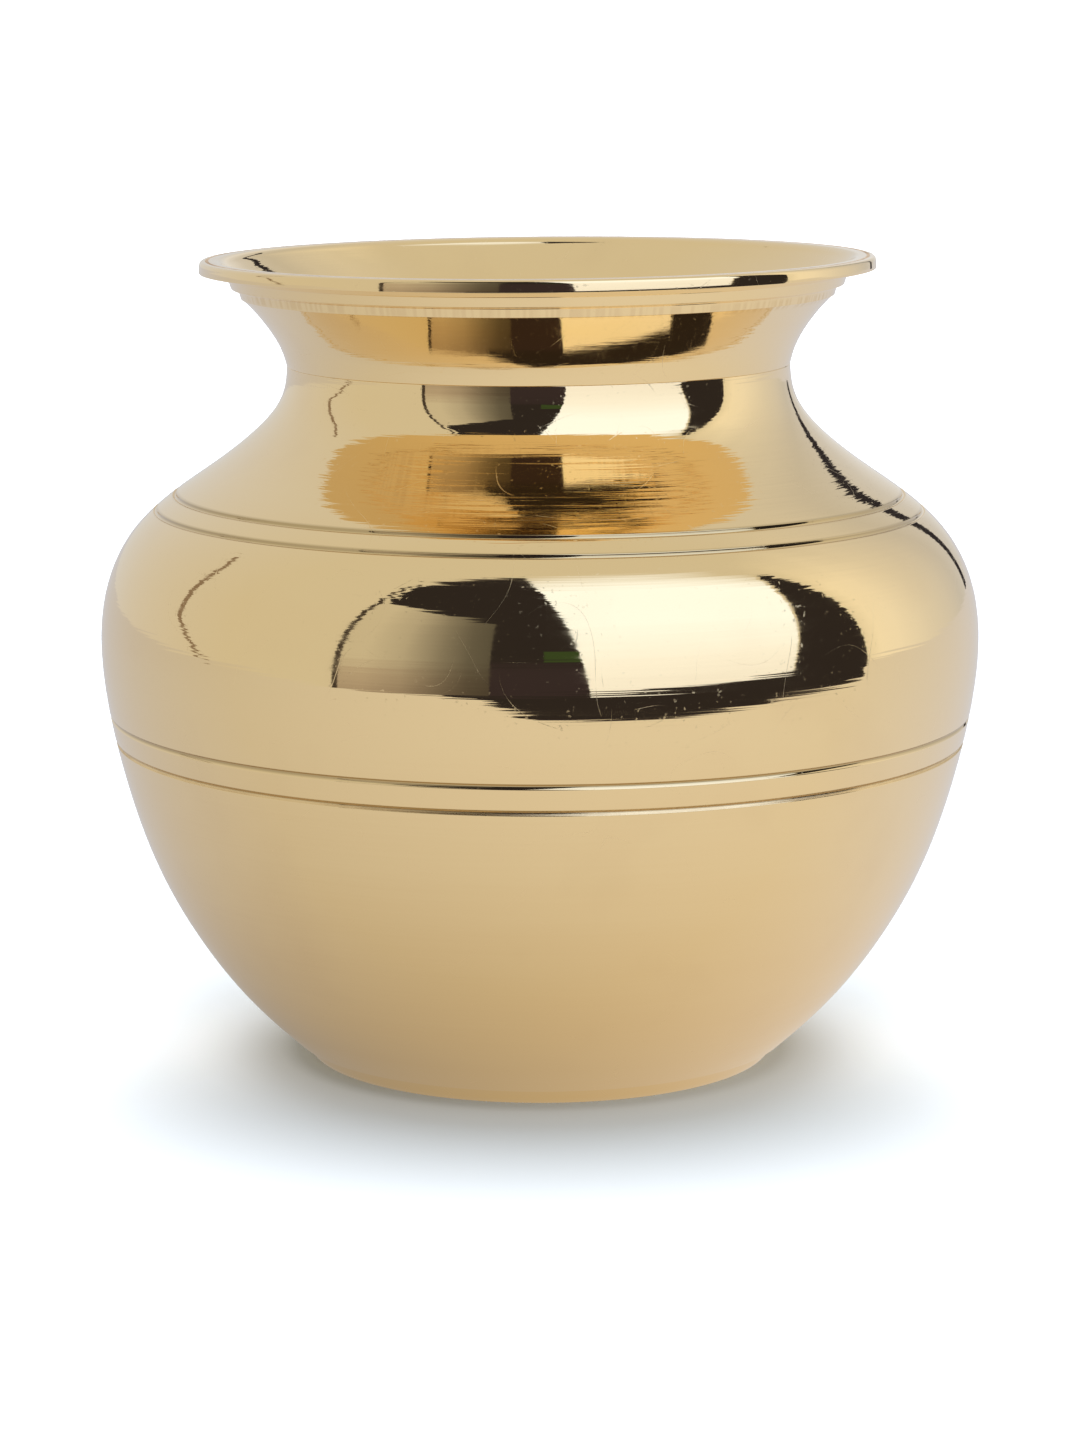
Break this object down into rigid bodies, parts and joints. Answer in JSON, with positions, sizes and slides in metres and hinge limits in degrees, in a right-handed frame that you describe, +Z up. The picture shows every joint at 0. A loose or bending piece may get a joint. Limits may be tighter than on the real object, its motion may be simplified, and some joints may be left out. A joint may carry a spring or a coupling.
{
  "type": "kalash pot",
  "caption": "Round-bellied brass kalash: a water pot with a narrow neck, a wide flared mouth and a low foot ring.",
  "frame": {"origin": "centre of the foot, on the surface that the pot stands on", "axes": "+Z up along the turning axis, towards the mouth; the pot is round, so +X and +Y are free, and the picture looks along +Y"},
  "size_m": [0.1316, 0.1316, 0.1203],
  "materials": {
    "brass": "lathe-polished, mirror bright outside and satin inside",
    "braze": "brazing metal, scraped flush where it shows"
  },
  "bodies": {
    "root": {"mouth_ring": "brass", "mouth_braze": "braze", "neck_collar": "brass", "neck_braze": "braze", "shoulder_shell": "brass", "belly_braze": "braze", "bowl_shell": "brass", "foot_braze": "braze", "foot_ring": "brass"}
  },
  "joints": []
}
